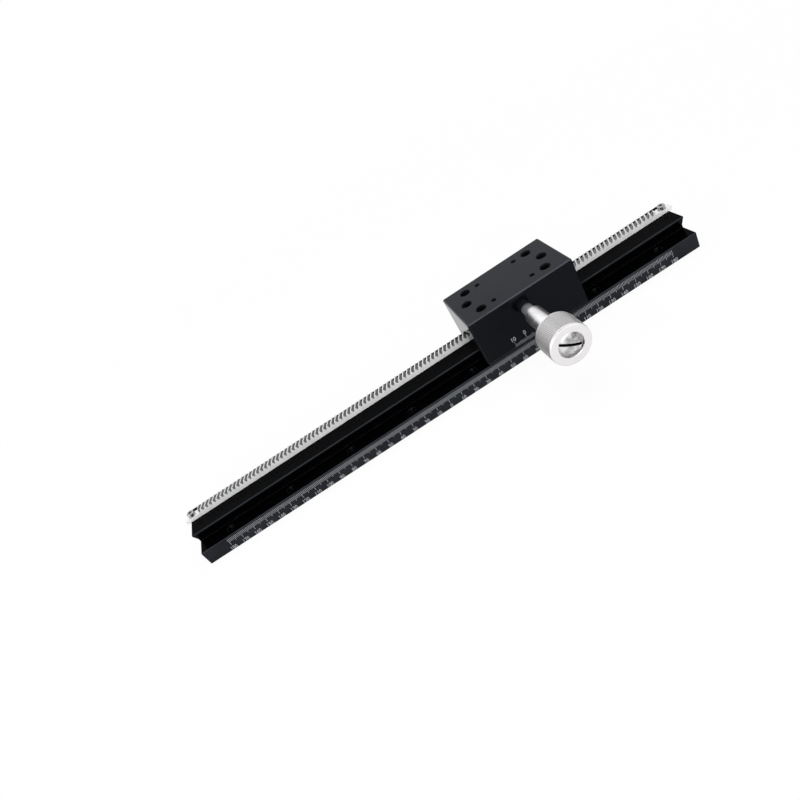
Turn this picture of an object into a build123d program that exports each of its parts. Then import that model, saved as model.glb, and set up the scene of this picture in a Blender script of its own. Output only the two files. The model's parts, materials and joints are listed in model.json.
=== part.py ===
from build123d import *
from math import acos, atan, ceil, cos, pi, radians, sin, tan
import os

# Rack-and-pinion linear translation stage, in millimetres.
# Origin: middle of the rail's underside. +X runs along the rail, +Y away from the knob, +Z up.

# ---- rail ----
rail_length = 400.0
rail_width = 50.0
flange_height = 12.0
dovetail_height = 10.0
dovetail_width = 30.0        # across the top of the dovetail
dovetail_angle = 60.0        # slope of its sides from the horizontal
dovetail_land = 1.2          # upright edge above each slope
dovetail_neck = 2.0          # upright foot below each slope
dovetail_edge_break = 0.3
rail_edge_break = 0.6
rail_end_break = 0.3

mount_pitch = 50.0           # along the rail
mount_row_offset = 18.0      # each row of bolt holes from the centre line
mount_hole_radius = 1.7
mount_head_radius = 2.9
mount_head_depth = 3.4
mount_end_margin = 10.0      # least distance from a bolt hole to the rail's end

# ---- rack ----
rack_width = 6.0
rack_height = 6.0
rack_offset = 3.5            # its middle plane from the rail's centre line
rack_groove_depth = 0.5
rack_overhang = 3.0          # past each end of the rail
rack_tab_length = 12.5       # toothless tab at each end, with its screw in the middle
rack_tab_drop = 0.5          # tab top below the tooth roots
rack_end_break = 0.5
rack_screw_radius = 1.5
rack_screw_head_radius = 2.75
rack_screw_head_height = 3.0
rack_screw_length = 8.0
rack_screw_edge_break = 0.3
rack_socket_width = 2.5      # across the flats of the hexagon socket
rack_socket_depth = 1.5
rack_dowel_radius = 1.0
rack_dowel_length = 6.0
rack_dowel_inset = 50.0
dowel_in_rack = 2.4

# ---- teeth ----
tooth_module = 1.0           # normal module
pressure_angle = 20.0        # normal pressure angle
helix_angle = 20.0
pinion_teeth = 14
pinion_width = 8.0
pinion_slices = 4            # ruled steps along the pinion's twist
root_factor = 1.25
backlash = 0.16
mesh_relief = 0.05           # extra distance between the pinion's axis and the rack

# ---- carriage ----
block_length = 80.0
table_height = 26.0          # over the top of the dovetail
block_clearance = 0.5        # under its skirts, over the rail's flanges
block_edge_break = 0.8
block_position = 75.5        # its middle, along the rail, at rest
slide_gap = 0.05             # running clearance of the ways
corner_relief = 0.5          # around the dovetail's sharp corners
neck_relief = 0.4            # beside the dovetail's foot
tunnel_side_gap = 0.6
tunnel_top_gap = 1.0

large_hole_radius = 3.4      # tapping size
large_hole_depth = 10.0
large_hole_flare = 0.7
large_hole_span_x = 50.0
large_hole_span_y = 30.0
large_hole_line = 60.0
small_hole_radius = 1.65
small_hole_depth = 8.0
small_hole_flare = 0.45
small_hole_span = 30.0

# ---- gib ----
gib_thickness = 3.0
gib_gap = 0.1                # behind the gib, taken up by its screws
gib_end_inset = 1.0
gib_top_gap = 0.4
gib_bottom_gap = 0.4
gib_screw_radius = 2.0
gib_screw_rise = 6.0         # over the rail's flanges
gib_screw_pitch = 25.0
gib_screw_count = 3
gib_screw_recess = 1.0
gib_point_radius = 1.2
gib_dimple_depth = 1.2
gib_socket_width = 2.0       # across the flats of the hexagon socket
gib_socket_depth = 2.0

# ---- drive shaft and its bearings ----
shaft_radius = 4.0
collar_rise = 2.0            # over the shaft
collar_width = 1.5
journal_radius = 3.0
journal_length = 11.5
spindle_radius = 3.0
shaft_seat = 2.0             # full-size shaft inside the knob's mouth
running_gap = 0.04
thread_gap = 0.03
seat_gap = 0.02
screw_gap = 0.1              # round screw shanks and heads
loose_gap = 0.5              # round parts that turn clear of others
axial_play = 0.05
front_bush_wall = 2.0
front_bush_length = 14.0
rear_bush_wall = 2.0
rear_bush_length = 10.0
thrust_washer_thickness = 0.8
thrust_washer_width = 3.5
ring_thickness = 0.8
ring_width = 2.0
ring_groove_depth = 0.5
ring_mouth_width = 4.0
shoulder_length = 0.7        # shaft behind the retaining ring
disc_spring_thickness = 0.4
disc_spring_height = 1.2
key_width = 2.0
key_height = 2.0
key_in_shaft = 1.2
pinion_key_length = 6.0
knob_key_length = 14.0
knob_key_start = 18.0        # from the knob's mouth

# ---- bearing cap ----
cap_width = 32.0
cap_height = 24.0
cap_thickness = 3.0
cap_corner = 3.0
cap_end_room = 1.0           # behind the rear bush
cap_screw_inset = 4.0        # from the plate's edges
cap_screw_radius = 1.25
cap_screw_head_radius = 2.3
cap_screw_head_height = 1.5
cap_screw_length = 8.0
cap_socket_width = 1.5
cap_socket_depth = 0.9

# ---- knob ----
shaft_showing = 10.0         # bare shaft between the carriage and the knob
neck_radius = 6.5
neck_length = 30.0
neck_edge_break = 1.0
knob_radius = 13.7           # to the bottom of its knurl
knob_length = 20.0
knob_edge_break = 0.8
knob_recess_radius = 8.5
knob_recess_depth = 3.0
knob_screw_head_height = 2.8
knob_screw_crown = 1.5       # rise of its domed top
knob_screw_radius = 2.0
knob_screw_length = 12.0
knob_screw_slot = 1.8
knob_screw_slot_depth = 2.1  # below the top of the dome
knob_screw_slot_turn = 30.0  # slot's turn from the horizontal
spindle_short = 1.0          # spindle end below the recess floor

# ---- worked out from the sizes above ----
dovetail_top = flange_height + dovetail_height
slope_rise = tan(radians(dovetail_angle))
slope_top = dovetail_top - dovetail_land
slope_foot = flange_height + dovetail_neck
dovetail_foot = dovetail_width / 2 - (slope_top - slope_foot) / slope_rise

transverse_pitch = pi * tooth_module / cos(radians(helix_angle))
transverse_angle = atan(tan(radians(pressure_angle)) / cos(radians(helix_angle)))
pitch_radius = pinion_teeth * transverse_pitch / (2 * pi)
tip_radius = pitch_radius + tooth_module
root_radius = pitch_radius - root_factor * tooth_module
base_radius = pitch_radius * cos(transverse_angle)
tooth_lean = tan(radians(helix_angle))

rack_bottom = dovetail_top - rack_groove_depth
rack_top = rack_bottom + rack_height
pitch_line = rack_top - tooth_module
rack_root = rack_top - (1 + root_factor) * tooth_module
rack_tab_top = rack_root - rack_tab_drop
rack_half = rail_length / 2 + rack_overhang
toothed_half = rack_half - rack_tab_length
axis_z = pitch_line + pitch_radius + mesh_relief

block_bottom = flange_height + block_clearance
block_top = dovetail_top + table_height
front_face = -rail_width / 2
rear_face = rail_width / 2
gib_screw_height = flange_height + gib_screw_rise

pocket_radius = tip_radius + loose_gap
collar_radius = shaft_radius + collar_rise
front_bush_radius = shaft_radius + front_bush_wall
front_hole_radius = shaft_radius + loose_gap
front_washer_radius = shaft_radius + thrust_washer_width
rear_bush_radius = journal_radius + rear_bush_wall
rear_washer_radius = journal_radius + thrust_washer_width
ring_radius = shaft_radius - ring_groove_depth + ring_width
knob_screw_head_radius = knob_recess_radius - loose_gap

pinion_front = rack_offset - pinion_width / 2
pinion_back = rack_offset + pinion_width / 2
collar_front = pinion_front - collar_width
pocket_floor = collar_front - axial_play - thrust_washer_thickness
front_bush_front = pocket_floor - front_bush_length
ring_back = pinion_back + ring_thickness
shoulder_back = ring_back + shoulder_length
washer_back = shoulder_back + axial_play + thrust_washer_thickness
spring_back = washer_back + disc_spring_height
cap_front = rear_face - cap_thickness
rear_bush_back = spring_back + rear_bush_length

knob_mouth = front_face - shaft_showing
neck_front = knob_mouth - neck_length
knob_front = neck_front - knob_length
recess_floor = knob_front + knob_recess_depth
spindle_end = recess_floor + spindle_short
spindle_start = knob_mouth - shaft_seat


def along_x(profile, length):
    """Extrude a list of (y, z) points by length, centred on x = 0."""
    return extrude(Plane.YZ * Polygon(*profile, align=None), length / 2, both=True)


def rod_y(radius, y_start, y_end, x=0.0, z=0.0):
    """A round bar along Y."""
    middle = Pos(x, (y_start + y_end) / 2, z)
    return middle * Rot(90, 0, 0) * Cylinder(radius, abs(y_end - y_start))


def rod_z(radius, z_start, z_end, x=0.0, y=0.0):
    """A round bar along Z."""
    return Pos(x, y, (z_start + z_end) / 2) * Cylinder(radius, abs(z_end - z_start))


def block_between(low, high):
    """A box from its low corner to its high corner."""
    size = [b - a for a, b in zip(low, high)]
    middle = [(a + b) / 2 for a, b in zip(low, high)]
    return Pos(*middle) * Box(*size)


def turned(profile):
    """A body of revolution about Y from (radius, y) points."""
    return revolve(Polygon(*profile, align=None), Axis.Y)


def washer(inner, outer, y_start, y_end):
    """A flat ring about the Y axis."""
    return rod_y(outer, y_start, y_end) - rod_y(inner, y_start, y_end)


def on_axis(piece):
    """Move a piece made about the Y axis to the pinion's axis."""
    return Pos(block_position, 0, axis_z) * piece


def slope_y(z, offset):
    """Half-width of the dovetail's side at height z, moved out square to the slope by offset."""
    return dovetail_width / 2 - (slope_top - z) / slope_rise + offset / sin(radians(dovetail_angle))


def mount_places():
    """Positions of the rail's bolt holes, spread evenly each side of its middle."""
    reach = rail_length / 2 - mount_end_margin - mount_pitch / 2
    pairs = int(reach // mount_pitch) + 1
    for i in range(pairs):
        for side in (-1, 1):
            for row in (-1, 1):
                yield side * mount_pitch * (i + 0.5), row * mount_row_offset


def rail_profile():
    """Half of the rail's section is mirrored, so both ways match."""
    half = [
        (rail_width / 2 - rail_edge_break, 0),
        (rail_width / 2, rail_edge_break),
        (rail_width / 2, flange_height - rail_edge_break),
        (rail_width / 2 - rail_edge_break, flange_height),
        (dovetail_foot, flange_height),
        (dovetail_foot, slope_foot),
        (dovetail_width / 2, slope_top),
        (dovetail_width / 2, dovetail_top - dovetail_edge_break),
        (dovetail_width / 2 - dovetail_edge_break, dovetail_top),
    ]
    return half + [(-y, z) for y, z in reversed(half)]


def rack_screw_places():
    return [side * (rack_half - rack_tab_length / 2) for side in (-1, 1)]


def rack_dowel_places():
    return [side * (rail_length / 2 - rack_dowel_inset) for side in (-1, 1)]


def make_rail():
    bar = along_x(rail_profile(), rail_length)
    ends = bar.edges().group_by(Axis.X)
    bar = chamfer(ends[0] + ends[-1], rail_end_break)
    groove_half = rack_width / 2 + seat_gap
    cuts = [
        block_between(
            (-rail_length / 2, rack_offset - groove_half, rack_bottom),
            (rail_length / 2, rack_offset + groove_half, dovetail_top + rack_height),
        )
    ]
    for x, y in mount_places():
        cuts.append(rod_z(mount_hole_radius, 0, flange_height, x, y))
        cuts.append(rod_z(mount_head_radius, flange_height - mount_head_depth, flange_height, x, y))
    screw_tip = rack_tab_top - rack_screw_length
    for x in rack_screw_places():
        cuts.append(rod_z(rack_screw_radius + thread_gap, screw_tip, rack_bottom, x, rack_offset))
    dowel_foot = rack_bottom + dowel_in_rack - rack_dowel_length
    for x in rack_dowel_places():
        cuts.append(rod_z(rack_dowel_radius + seat_gap, dowel_foot, rack_bottom, x, rack_offset))
    return bar - cuts


def rack_comb():
    """Section through the teeth, one tooth centred on x = 0."""
    thickness = transverse_pitch / 2 - backlash / 2
    slope = tan(transverse_angle)
    tip_half = thickness / 2 - tooth_module * slope
    root_half = thickness / 2 + root_factor * tooth_module * slope
    count = ceil((toothed_half + rack_width) / transverse_pitch)
    points = []
    for i in range(-count, count + 1):
        x = i * transverse_pitch
        points += [
            (x - root_half, rack_root),
            (x - tip_half, rack_top),
            (x + tip_half, rack_top),
            (x + root_half, rack_root),
        ]
    left, right = points[0][0], points[-1][0]
    return points + [(right, rack_bottom), (left, rack_bottom)]


def make_rack():
    start = Plane.XZ.offset(-(rack_offset - rack_width))
    lean = Vector(tooth_lean, 1, 0)
    comb = extrude(start * Polygon(*rack_comb(), align=None), 2 * rack_width * lean.length, dir=lean)
    comb = Pos(-rack_width * tooth_lean, 0, 0) * comb
    low_y, high_y = rack_offset - rack_width / 2, rack_offset + rack_width / 2
    trim = block_between((-toothed_half, low_y, rack_bottom), (toothed_half, high_y, rack_top))
    rack = comb & trim
    for side in (-1, 1):
        near, far = sorted((side * toothed_half, side * rack_half))
        tab = block_between((near, low_y, rack_bottom), (far, high_y, rack_tab_top))
        outer_end = tab.faces().sort_by(Axis.X)[0 if side < 0 else -1]
        rack += chamfer(outer_end.edges(), rack_end_break)
    for x in rack_screw_places():
        rack -= rod_z(rack_screw_radius + screw_gap, rack_bottom, rack_tab_top, x, rack_offset)
    for x in rack_dowel_places():
        top = rack_bottom + dowel_in_rack
        rack -= rod_z(rack_dowel_radius + seat_gap, rack_bottom, top, x, rack_offset)
    return rack


def make_rack_screws():
    top = rack_tab_top + rack_screw_head_height
    head = rod_z(rack_screw_head_radius, rack_tab_top, top)
    head = chamfer(head.edges().group_by(Axis.Z)[-1], rack_screw_edge_break)
    shank = rod_z(rack_screw_radius, rack_tab_top - rack_screw_length, rack_tab_top)
    hexagon = RegularPolygon(rack_socket_width / 2, 6, major_radius=False)
    socket = extrude(Plane.XY.offset(top - rack_socket_depth) * hexagon, rack_socket_depth)
    return [Pos(x, rack_offset, 0) * (head + shank - socket) for x in rack_screw_places()]


def make_rack_dowels():
    top = rack_bottom + dowel_in_rack
    return [
        rod_z(rack_dowel_radius, top - rack_dowel_length, top, x, rack_offset)
        for x in rack_dowel_places()
    ]


def way_profile():
    """The groove over the dovetail: a fixed way in front, room for the gib behind."""
    roof = dovetail_top + slide_gap
    low = block_bottom - block_edge_break
    gib_wall = slide_gap + gib_thickness + gib_gap

    def side(offset, nose):
        land = dovetail_width / 2 + corner_relief + (slope_y(0, offset) - slope_y(0, slide_gap))
        land_z = slope_top + (land - slope_y(slope_top, offset)) * slope_rise
        nose_z = slope_top - (slope_y(slope_top, offset) - nose) * slope_rise
        return [(land, roof), (land, land_z), (nose, max(nose_z, low)), (nose, low)]

    front = side(slide_gap, dovetail_foot + neck_relief)
    rear = side(gib_wall, slope_y(low, gib_wall))
    rear = rear[:-1]
    return [(-y, z) for y, z in front] + list(reversed(rear))


def table_hole(x, y, radius, flare, depth):
    """A tapping hole with a countersunk mouth in the table."""
    hole = rod_z(radius, block_top - depth, block_top, x, y)
    cone = Pos(x, y, block_top - flare / 2) * Cone(radius, radius + flare, flare)
    return hole + cone


def table_holes():
    holes = []
    for side in (-1, 1):
        for row in (-1, 1):
            x, y = side * large_hole_span_x / 2, row * large_hole_span_y / 2
            holes.append(table_hole(x, y, large_hole_radius, large_hole_flare, large_hole_depth))
            x, y = side * small_hole_span / 2, row * small_hole_span / 2
            holes.append(table_hole(x, y, small_hole_radius, small_hole_flare, small_hole_depth))
        x = side * large_hole_line / 2
        holes.append(table_hole(x, 0, large_hole_radius, large_hole_flare, large_hole_depth))
    return holes


def gib_screw_places():
    first = -(gib_screw_count - 1) * gib_screw_pitch / 2
    return [first + i * gib_screw_pitch for i in range(gib_screw_count)]


def cap_screw_places():
    x, z = cap_width / 2 - cap_screw_inset, cap_height / 2 - cap_screw_inset
    return [(side * x, axis_z + level * z) for side in (-1, 1) for level in (-1, 1)]


def cap_plate(grow=0.0):
    """The bearing cap's plate, or its recess when grown."""
    outline = RectangleRounded(cap_width + 2 * grow, cap_height + 2 * grow, cap_corner + grow)
    return extrude(Plane.XZ.offset(-rear_face) * Pos(0, axis_z) * outline, cap_thickness)


def make_carriage_block():
    block = block_between(
        (-block_length / 2, front_face, block_bottom), (block_length / 2, rear_face, block_top)
    )
    block = chamfer(block.edges(), block_edge_break)
    tunnel_half = rack_width / 2 + tunnel_side_gap
    cuts = [
        along_x(way_profile(), 2 * block_length),
        block_between(
            (-block_length, rack_offset - tunnel_half, dovetail_top - corner_relief),
            (block_length, rack_offset + tunnel_half, rack_top + tunnel_top_gap),
        ),
        rod_y(pocket_radius, pocket_floor, rear_face, 0, axis_z),
        rod_y(front_hole_radius, front_face, pocket_floor, 0, axis_z),
        rod_y(front_bush_radius + seat_gap, front_bush_front, pocket_floor, 0, axis_z),
        cap_plate(seat_gap),
    ]
    cuts += table_holes()
    for x in gib_screw_places():
        cuts.append(rod_y(gib_screw_radius + thread_gap, gib_point_y(), rear_face, x, gib_screw_height))
    for x, z in cap_screw_places():
        depth = cap_screw_length - cap_thickness + cap_screw_head_height + axial_play
        cuts.append(rod_y(cap_screw_radius + thread_gap, cap_front - depth, cap_front, x, z))
    return Pos(block_position, 0, 0) * (block - cuts)


def gib_point_y():
    """Where the gib screws' points bear, inside the gib's dimples."""
    return slope_y(gib_screw_height, slide_gap + gib_thickness) - gib_dimple_depth


def make_gib_strip():
    low, high = slope_foot + gib_bottom_gap, dovetail_top - gib_top_gap
    near, far = slide_gap, slide_gap + gib_thickness
    strip = along_x(
        [
            (slope_y(low, near), low),
            (slope_y(low, far), low),
            (slope_y(high, far), high),
            (slope_y(high, near), high),
        ],
        block_length - 2 * gib_end_inset,
    )
    dimples = [
        rod_y(gib_point_radius + seat_gap, gib_point_y(), rear_face, x, gib_screw_height)
        for x in gib_screw_places()
    ]
    return Pos(block_position, 0, 0) * (strip - dimples)


def hexagon_y(width, y_start, y_end):
    """A hexagonal prism along Y, width across its flats."""
    outline = Plane.XZ.offset(-y_end) * RegularPolygon(width / 2, 6, major_radius=False)
    return extrude(outline, y_end - y_start)


def make_gib_screws():
    body_front = slope_y(gib_screw_height + gib_screw_radius, slide_gap + gib_thickness) + seat_gap
    body_back = rear_face - gib_screw_recess
    point = rod_y(gib_point_radius, gib_point_y() + seat_gap, body_front)
    body = rod_y(gib_screw_radius, body_front, body_back)
    socket = hexagon_y(gib_socket_width, body_back - gib_socket_depth, body_back)
    screw = body + point - socket
    return [Pos(block_position + x, 0, gib_screw_height) * screw for x in gib_screw_places()]


def make_front_bush():
    return on_axis(
        washer(shaft_radius + running_gap, front_bush_radius, front_bush_front, pocket_floor)
    )


def make_front_thrust_washer():
    ring = washer(
        shaft_radius + 2 * running_gap,
        front_washer_radius,
        pocket_floor,
        pocket_floor + thrust_washer_thickness,
    )
    return on_axis(ring)


def keyway(seat_radius, y_start, y_end, depth_in, height_out):
    """Box for a key or its slot, on top of a shaft of the given radius."""
    return block_between(
        (-key_width / 2, y_start, seat_radius - depth_in),
        (key_width / 2, y_end, seat_radius + height_out),
    )


def pinion_key_ends():
    return rack_offset - pinion_key_length / 2, rack_offset + pinion_key_length / 2


def knob_key_ends():
    front = knob_mouth - knob_key_start
    return front - knob_key_length, front


def make_pinion_shaft():
    groove_radius = shaft_radius - ring_groove_depth
    shaft = turned(
        [
            (0, spindle_end),
            (spindle_radius, spindle_end),
            (spindle_radius, spindle_start),
            (shaft_radius, spindle_start),
            (shaft_radius, collar_front),
            (collar_radius, collar_front),
            (collar_radius, pinion_front),
            (shaft_radius, pinion_front),
            (shaft_radius, pinion_back),
            (groove_radius, pinion_back),
            (groove_radius, ring_back),
            (shaft_radius, ring_back),
            (shaft_radius, shoulder_back),
            (journal_radius, shoulder_back),
            (journal_radius, shoulder_back + journal_length),
            (0, shoulder_back + journal_length),
        ]
    )
    screw_end = recess_floor + knob_screw_length
    shaft -= rod_y(knob_screw_radius + thread_gap, spindle_end, screw_end)
    shaft -= keyway(shaft_radius, *pinion_key_ends(), key_in_shaft, key_height)
    shaft -= keyway(spindle_radius, *knob_key_ends(), key_in_shaft, key_height)
    return on_axis(shaft)


def make_key(seat_radius, ends):
    key = keyway(seat_radius, *ends, key_in_shaft, key_height - key_in_shaft)
    return on_axis(key)


def polar(radius, angle):
    return (radius * cos(angle), radius * sin(angle))


def involute_turn(radius):
    """Angle that the involute flank has turned through at a radius."""
    pressure = acos(base_radius / radius)
    return tan(pressure) - pressure


def tooth_points(centre):
    """Points up one flank of a tooth and down the other, about an angle."""
    half_pitch = transverse_pitch / 4 - backlash / 4
    half_base = half_pitch / pitch_radius + involute_turn(pitch_radius)
    middle_radius = (base_radius + tip_radius) / 2
    flank = [(root_radius, half_base)]
    for radius in (base_radius, middle_radius, tip_radius):
        flank.append((radius, half_base - involute_turn(radius)))
    rise = [polar(radius, centre - half) for radius, half in flank]
    fall = [polar(radius, centre + half) for radius, half in reversed(flank)]
    return rise + fall


def pinion_section(first_tooth, height):
    points = []
    for i in range(pinion_teeth):
        points += tooth_points(first_tooth + i * 2 * pi / pinion_teeth)
    return Pos(0, 0, height) * make_face(Polyline(*points, close=True).edges())


def make_pinion():
    """Helical pinion whose tooth space stands over the nearest rack tooth at rest."""
    nearest = round(block_position / transverse_pitch) * transverse_pitch - block_position
    twist = tooth_lean * pinion_width / pitch_radius
    first_tooth = pi / 2 - nearest / pitch_radius + twist / 2 + pi / pinion_teeth
    steps = [i / pinion_slices for i in range(pinion_slices + 1)]
    sections = [pinion_section(first_tooth - twist * step, pinion_width * step) for step in steps]
    gear = Plane((0, pinion_front, 0), x_dir=(1, 0, 0), z_dir=(0, 1, 0)) * loft(sections, ruled=True)
    gear -= rod_y(shaft_radius + seat_gap, pinion_front, pinion_back)
    slot = keyway(shaft_radius, pinion_front, pinion_back, key_in_shaft, key_height - key_in_shaft + seat_gap)
    return on_axis(gear - slot)


def make_retaining_ring():
    ring = washer(shaft_radius - ring_groove_depth + seat_gap, ring_radius, pinion_back, ring_back)
    mouth = block_between(
        (-ring_mouth_width / 2, pinion_back, 0), (ring_mouth_width / 2, ring_back, ring_radius)
    )
    return on_axis(ring - mouth)


def make_rear_thrust_washer():
    front = shoulder_back + axial_play
    return on_axis(washer(journal_radius + running_gap, rear_washer_radius, front, washer_back))


def make_disc_spring():
    """Dished spring between the rear washer and the cap."""
    inner = journal_radius + loose_gap
    cone = turned(
        [
            (inner, washer_back),
            (inner, washer_back + disc_spring_thickness),
            (rear_washer_radius, spring_back),
            (rear_washer_radius, spring_back - disc_spring_thickness),
        ]
    )
    return on_axis(cone)


def make_rear_bush():
    return on_axis(washer(journal_radius + running_gap, rear_bush_radius, spring_back, rear_bush_back))


def make_bearing_cap():
    spigot = rod_y(pocket_radius - seat_gap, spring_back, cap_front, 0, axis_z)
    bore = rod_y(rear_bush_radius + seat_gap, spring_back, rear_bush_back, 0, axis_z)
    end_room = rod_y(
        journal_radius + running_gap, rear_bush_back, rear_bush_back + cap_end_room, 0, axis_z
    )
    cap = cap_plate() + spigot - bore - end_room
    for x, z in cap_screw_places():
        head_seat = rear_face - cap_screw_head_height - axial_play
        cap -= rod_y(cap_screw_radius + screw_gap, cap_front, rear_face, x, z)
        cap -= rod_y(cap_screw_head_radius + screw_gap, head_seat, rear_face, x, z)
    return Pos(block_position, 0, 0) * cap


def make_cap_screws():
    top = rear_face - axial_play
    seat = top - cap_screw_head_height
    head = rod_y(cap_screw_head_radius, seat, top)
    shank = rod_y(cap_screw_radius, seat - cap_screw_length, seat)
    screw = head + shank - hexagon_y(cap_socket_width, top - cap_socket_depth, top)
    return [Pos(block_position + x, 0, z) * screw for x, z in cap_screw_places()]


def make_knob():
    knob = turned(
        [
            (0, knob_mouth),
            (neck_radius - neck_edge_break, knob_mouth),
            (neck_radius, knob_mouth - neck_edge_break),
            (neck_radius, neck_front),
            (knob_radius - knob_edge_break, neck_front),
            (knob_radius, neck_front - knob_edge_break),
            (knob_radius, knob_front + knob_edge_break),
            (knob_radius - knob_edge_break, knob_front),
            (knob_recess_radius, knob_front),
            (knob_recess_radius, recess_floor),
            (0, recess_floor),
        ]
    )
    knob -= rod_y(shaft_radius + seat_gap, spindle_start, knob_mouth)
    knob -= rod_y(spindle_radius + seat_gap, recess_floor, spindle_start)
    slot = keyway(
        spindle_radius, recess_floor, spindle_start, key_in_shaft, key_height - key_in_shaft + seat_gap
    )
    return on_axis(knob - slot)


def make_knob_screw():
    """Slotted screw with a domed head; the slot runs out shallow at the head's rim."""
    top = recess_floor - knob_screw_head_height
    rim = top + knob_screw_crown
    dome_radius = (knob_screw_head_radius**2 + knob_screw_crown**2) / (2 * knob_screw_crown)
    dome = Pos(0, top + dome_radius, 0) * Sphere(dome_radius)
    cap = dome & rod_y(knob_screw_head_radius, top, rim)
    shank = rod_y(knob_screw_radius, recess_floor, recess_floor + knob_screw_length)
    slot = Pos(0, top, 0) * Box(
        4 * knob_screw_head_radius, 2 * knob_screw_slot_depth, knob_screw_slot
    )
    base = rod_y(knob_screw_head_radius, rim, recess_floor)
    return on_axis(base + cap + shank - Rot(0, knob_screw_slot_turn, 0) * slot)


pieces = {
    "rail": make_rail,
    "rack": make_rack,
    "rack_screws": make_rack_screws,
    "rack_dowels": make_rack_dowels,
    "carriage_block": make_carriage_block,
    "gib_strip": make_gib_strip,
    "gib_screws": make_gib_screws,
    "front_bush": make_front_bush,
    "front_thrust_washer": make_front_thrust_washer,
    "rear_bush": make_rear_bush,
    "bearing_cap": make_bearing_cap,
    "bearing_cap_screws": make_cap_screws,
    "pinion_shaft": make_pinion_shaft,
    "pinion": make_pinion,
    "pinion_key": lambda: make_key(shaft_radius, pinion_key_ends()),
    "retaining_ring": make_retaining_ring,
    "rear_thrust_washer": make_rear_thrust_washer,
    "disc_spring": make_disc_spring,
    "knob": make_knob,
    "knob_key": lambda: make_key(spindle_radius, knob_key_ends()),
    "knob_screw": make_knob_screw,
}

os.makedirs("parts", exist_ok=True)
for name, make in pieces.items():
    made = make()
    solids = made if isinstance(made, list) else [made]
    solids = [solid for piece in solids for solid in piece.solids()]
    export_step(Compound(solids) if len(solids) > 1 else solids[0], f"parts/{name}.step")
print("knob turn per metre of travel:", round(1000 / pitch_radius, 6), "rad")
print("shaft axis height:", round(axis_z, 6))
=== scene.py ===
import json
import math
import bpy
from mathutils import Matrix, Vector


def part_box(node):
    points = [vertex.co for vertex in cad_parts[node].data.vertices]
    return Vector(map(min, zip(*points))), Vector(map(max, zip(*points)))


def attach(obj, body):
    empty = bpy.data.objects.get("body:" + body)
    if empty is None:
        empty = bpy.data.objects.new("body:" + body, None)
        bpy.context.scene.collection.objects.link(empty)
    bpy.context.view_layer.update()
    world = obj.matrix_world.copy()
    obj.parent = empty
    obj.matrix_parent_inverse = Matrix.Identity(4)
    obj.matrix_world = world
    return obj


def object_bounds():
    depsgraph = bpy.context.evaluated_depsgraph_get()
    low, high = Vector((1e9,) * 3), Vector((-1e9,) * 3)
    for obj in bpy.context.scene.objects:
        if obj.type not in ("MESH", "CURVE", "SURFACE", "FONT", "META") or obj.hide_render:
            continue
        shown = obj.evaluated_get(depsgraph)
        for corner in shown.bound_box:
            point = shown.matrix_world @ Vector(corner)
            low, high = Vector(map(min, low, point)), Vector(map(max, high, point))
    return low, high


# Linear translation stage: dovetail rail, helical rack, carriage and knurled drive knob.
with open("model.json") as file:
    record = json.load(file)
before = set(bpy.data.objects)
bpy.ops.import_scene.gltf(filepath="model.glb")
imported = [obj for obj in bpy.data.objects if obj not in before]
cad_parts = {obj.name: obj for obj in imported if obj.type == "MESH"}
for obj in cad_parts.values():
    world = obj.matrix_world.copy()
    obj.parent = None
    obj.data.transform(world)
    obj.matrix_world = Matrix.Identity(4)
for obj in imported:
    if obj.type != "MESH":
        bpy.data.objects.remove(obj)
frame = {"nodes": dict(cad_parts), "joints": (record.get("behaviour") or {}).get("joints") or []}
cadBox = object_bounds()

scene = bpy.context.scene
scene.view_settings.view_transform = "Standard"
mm = 0.001
nodes = frame["nodes"]
shaftJoint = next(joint for joint in frame["joints"] if joint["name"] == "knob_turn")
shaftSpot = Vector(shaftJoint["pos_m"])  # a point on the knob's axis, at rest


# camera
cameraSetup = {
    "spot": (-0.0146, -0.4077, 0.2736),
    "yaw": -1.925,  # degrees, from +Y towards +X
    "pitch": 32.594,  # below the horizon
    "roll": -34.142,
    "lens": 30.7,
    "sensor": 36.0,
}


def addCamera(setup):
    yaw, pitch, roll = (math.radians(setup[key]) for key in ("yaw", "pitch", "roll"))
    flat = math.cos(pitch)
    ahead = Vector((math.sin(yaw) * flat, math.cos(yaw) * flat, -math.sin(pitch)))
    level = Vector((math.cos(yaw), -math.sin(yaw), 0))
    upright = level.cross(ahead)
    right = level * math.cos(roll) + upright * math.sin(roll)
    up = upright * math.cos(roll) - level * math.sin(roll)
    data = bpy.data.cameras.new("stageCamera")
    data.lens = setup["lens"]
    data.sensor_width = setup["sensor"]
    data.clip_start = 0.01
    data.clip_end = 20
    camera = bpy.data.objects.new("stageCamera", data)
    turn = Matrix((right, up, -ahead)).transposed().to_4x4()
    camera.matrix_world = Matrix.Translation(setup["spot"]) @ turn
    scene.collection.objects.link(camera)
    scene.camera = camera


addCamera(cameraSetup)
print("camera ready")


# small helpers for node trees
def addNode(tree, kind, values=None, **settings):
    node = tree.nodes.new(kind)
    for key, value in settings.items():
        setattr(node, key, value)
    for key, value in (values or {}).items():
        node.inputs[key].default_value = value
    return node


def link(tree, source, target):
    tree.links.new(source, target)


# a plain number is written on the socket, anything else is linked to it
def feed(tree, value, socket):
    if isinstance(value, (int, float)):
        socket.default_value = value
    else:
        link(tree, value, socket)


def mathStep(tree, operation, first, second=None, third=None):
    node = addNode(tree, "ShaderNodeMath", operation=operation)
    for socket, value in zip(node.inputs, (first, second, third)):
        if value is not None:
            feed(tree, value, socket)
    return node.outputs[0]


def blend(tree, factor, first, second):
    node = addNode(tree, "ShaderNodeMix", data_type="FLOAT")
    feed(tree, factor, node.inputs[0])
    feed(tree, first, node.inputs[2])
    feed(tree, second, node.inputs[3])
    return node.outputs[0]


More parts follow.
